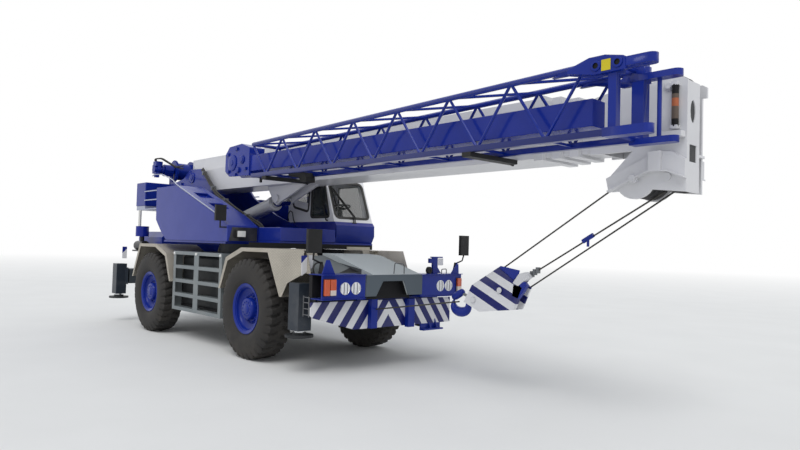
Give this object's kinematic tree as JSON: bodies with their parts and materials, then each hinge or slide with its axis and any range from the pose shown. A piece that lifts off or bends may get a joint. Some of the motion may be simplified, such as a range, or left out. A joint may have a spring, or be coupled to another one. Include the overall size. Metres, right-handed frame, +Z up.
{
  "type": "two-axle rough-terrain mobile crane",
  "caption": "Mobile crane with a telescopic boom stowed forwards, a lattice fly jib on its side, an offset cab, steered wheels and sliding outriggers.",
  "frame": {"origin": "on the slewing axis, at ground level", "axes": "+X forwards, +Y to the vehicle's left, +Z up"},
  "size_m": [11.8058, 2.92, 3.455],
  "materials": {
    "blue_paint": "gloss",
    "white_paint": "gloss",
    "grey_paint": "satin",
    "black_paint": "satin",
    "deck_paint": "matte, gritty",
    "tread_plate": "raised pattern, dull",
    "cast_metal": "matte",
    "ground_rod": "polished",
    "tyre_rubber": "matte",
    "black_plastic": "matte",
    "seat_cover": "woven",
    "wire_rope": "greased strands",
    "lamp_glass": "clear, domed",
    "window_glass": "tinted"
  },
  "bodies": {
    "carrier": {"carrier_frame": "grey_paint", "axles": "grey_paint", "outrigger_boxes": "grey_paint", "fenders": "tread_plate", "side_steps": "grey_paint", "side_tanks": "grey_paint", "engine_hood": "blue_paint", "engine_block": "cast_metal", "exhaust": "cast_metal", "front_deck": "deck_paint", "lamp_boxes": "blue_paint", "headlamps": "lamp_glass", "front_bumper": "blue_paint", "front_mirrors": "black_plastic", "slew_ring": "grey_paint"},
    "turntable": {"turntable_frame": "blue_paint", "side_covers": "blue_paint", "counterweight": "blue_paint", "tail_rails": "blue_paint", "winches": "blue_paint", "cab_shell": "white_paint", "cab_glass": "window_glass", "cab_interior": "seat_cover", "side_mirror": "black_plastic"},
    "door": {"cab_door": "white_paint", "cab_door_glass": "window_glass"},
    "barrel": {"cylinder_barrel": "white_paint"},
    "rod": {"cylinder_rod": "ground_rod"},
    "boom": {"boom_base": "white_paint", "jib_lattice": "blue_paint", "jib_inner": "blue_paint", "jib_brackets": "black_paint"},
    "section_2": {"boom_section_2": "white_paint"},
    "section_3": {"boom_section_3": "white_paint"},
    "section_4": {"boom_section_4": "white_paint", "boom_head": "white_paint", "head_sheaves": "cast_metal"},
    "hook_tackle": {"hook_block": "white_paint", "hook": "blue_paint", "hoist_ropes": "wire_rope"},
    "knuckle_front_left": {"knuckle_front_left": "grey_paint"},
    "wheel_front_left": {"rim_front_left": "blue_paint", "tyre_front_left": "tyre_rubber"},
    "knuckle_front_right": {"knuckle_front_right": "grey_paint"},
    "wheel_front_right": {"rim_front_right": "blue_paint", "tyre_front_right": "tyre_rubber"},
    "knuckle_rear_left": {"knuckle_rear_left": "grey_paint"},
    "wheel_rear_left": {"rim_rear_left": "blue_paint", "tyre_rear_left": "tyre_rubber"},
    "knuckle_rear_right": {"knuckle_rear_right": "grey_paint"},
    "wheel_rear_right": {"rim_rear_right": "blue_paint", "tyre_rear_right": "tyre_rubber"},
    "beam_front_left": {"outrigger_beam_front_left": "grey_paint"},
    "leg_front_left": {"jack_front_left": "black_paint"},
    "beam_front_right": {"outrigger_beam_front_right": "grey_paint"},
    "leg_front_right": {"jack_front_right": "black_paint"},
    "beam_rear_left": {"outrigger_beam_rear_left": "grey_paint"},
    "leg_rear_left": {"jack_rear_left": "black_paint"},
    "beam_rear_right": {"outrigger_beam_rear_right": "grey_paint"},
    "leg_rear_right": {"jack_rear_right": "black_paint"}
  },
  "joints": [
    {"name": "steer_front_left", "type": "hinge", "parent": "carrier", "child": "knuckle_front_left", "pos_m": [1.95, 0.8, 0.745], "axis": [0, 0, 1], "range_deg": [-25, 25]},
    {"name": "roll_front_left", "type": "hinge", "parent": "knuckle_front_left", "child": "wheel_front_left", "pos_m": [1.95, 1.085, 0.745], "axis": [0, 1, 0], "continuous": true},
    {"name": "steer_front_right", "type": "hinge", "parent": "carrier", "child": "knuckle_front_right", "pos_m": [1.95, -0.8, 0.745], "axis": [0, 0, 1], "range_deg": [-25, 25]},
    {"name": "roll_front_right", "type": "hinge", "parent": "knuckle_front_right", "child": "wheel_front_right", "pos_m": [1.95, -1.085, 0.745], "axis": [0, 1, 0], "continuous": true},
    {"name": "steer_rear_left", "type": "hinge", "parent": "carrier", "child": "knuckle_rear_left", "pos_m": [-1.7, 0.8, 0.745], "axis": [0, 0, 1], "range_deg": [-25, 25]},
    {"name": "roll_rear_left", "type": "hinge", "parent": "knuckle_rear_left", "child": "wheel_rear_left", "pos_m": [-1.7, 1.085, 0.745], "axis": [0, 1, 0], "continuous": true},
    {"name": "steer_rear_right", "type": "hinge", "parent": "carrier", "child": "knuckle_rear_right", "pos_m": [-1.7, -0.8, 0.745], "axis": [0, 0, 1], "range_deg": [-25, 25]},
    {"name": "roll_rear_right", "type": "hinge", "parent": "knuckle_rear_right", "child": "wheel_rear_right", "pos_m": [-1.7, -1.085, 0.745], "axis": [0, 1, 0], "continuous": true},
    {"name": "extend_front_left", "type": "slide", "parent": "carrier", "child": "beam_front_left", "axis": [0, 1, 0], "range_m": [0, 1.85]},
    {"name": "lower_front_left", "type": "slide", "parent": "beam_front_left", "child": "leg_front_left", "axis": [0, 0, -1], "range_m": [0, 0.58]},
    {"name": "extend_front_right", "type": "slide", "parent": "carrier", "child": "beam_front_right", "axis": [0, -1, 0], "range_m": [0, 1.85]},
    {"name": "lower_front_right", "type": "slide", "parent": "beam_front_right", "child": "leg_front_right", "axis": [0, 0, -1], "range_m": [0, 0.58]},
    {"name": "extend_rear_left", "type": "slide", "parent": "carrier", "child": "beam_rear_left", "axis": [0, 1, 0], "range_m": [0, 1.85]},
    {"name": "lower_rear_left", "type": "slide", "parent": "beam_rear_left", "child": "leg_rear_left", "axis": [0, 0, -1], "range_m": [0, 0.58]},
    {"name": "extend_rear_right", "type": "slide", "parent": "carrier", "child": "beam_rear_right", "axis": [0, -1, 0], "range_m": [0, 1.85]},
    {"name": "lower_rear_right", "type": "slide", "parent": "beam_rear_right", "child": "leg_rear_right", "axis": [0, 0, -1], "range_m": [0, 0.58]},
    {"name": "slew", "type": "hinge", "parent": "carrier", "child": "turntable", "pos_m": [0, 0, 1.7], "axis": [0, 0, 1], "continuous": true},
    {"name": "door_hinge", "type": "hinge", "parent": "turntable", "child": "door", "pos_m": [0.714, 1.284, 2.4], "axis": [0, 0, 1], "range_deg": [0, 85]},
    {"name": "boom_luff", "type": "hinge", "parent": "turntable", "child": "boom", "pos_m": [-1.85, 0, 3], "axis": [0, -1, 0], "range_deg": [0, 80]},
    {"name": "barrel_swing", "type": "hinge", "parent": "turntable", "child": "barrel", "pos_m": [-1.3, 0, 1.98], "axis": [0, -1, 0], "range_deg": [0, 70.32]},
    {"name": "rod_stroke", "type": "slide", "parent": "barrel", "child": "rod", "axis": [0.9732, 0, 0.23], "range_m": [0, 1.41]},
    {"name": "telescope_2", "type": "slide", "parent": "boom", "child": "section_2", "axis": [1, 0, 0], "range_m": [0, 7]},
    {"name": "telescope_3", "type": "slide", "parent": "section_2", "child": "section_3", "axis": [1, 0, 0], "range_m": [0, 7]},
    {"name": "telescope_4", "type": "slide", "parent": "section_3", "child": "section_4", "axis": [1, 0, 0], "range_m": [0, 7]},
    {"name": "hook_swing", "type": "hinge", "parent": "section_4", "child": "hook_tackle", "pos_m": [7.48, 0, 2.45], "axis": [0, -1, 0], "range_deg": [-24.38, 0]}
  ],
  "couplings": [
    {"joint": "steer_front_right", "follows": "steer_front_left", "ratio": 1},
    {"joint": "steer_rear_right", "follows": "steer_rear_left", "ratio": 1},
    {"joint": "barrel_swing", "follows": "boom_luff", "ratio": 0.87654},
    {"joint": "rod_stroke", "follows": "boom_luff", "m_per_rad": 1.0062},
    {"joint": "telescope_3", "follows": "telescope_2", "ratio": 1},
    {"joint": "telescope_4", "follows": "telescope_2", "ratio": 1},
    {"joint": "hook_swing", "follows": "boom_luff", "ratio": -0.3023}
  ]
}
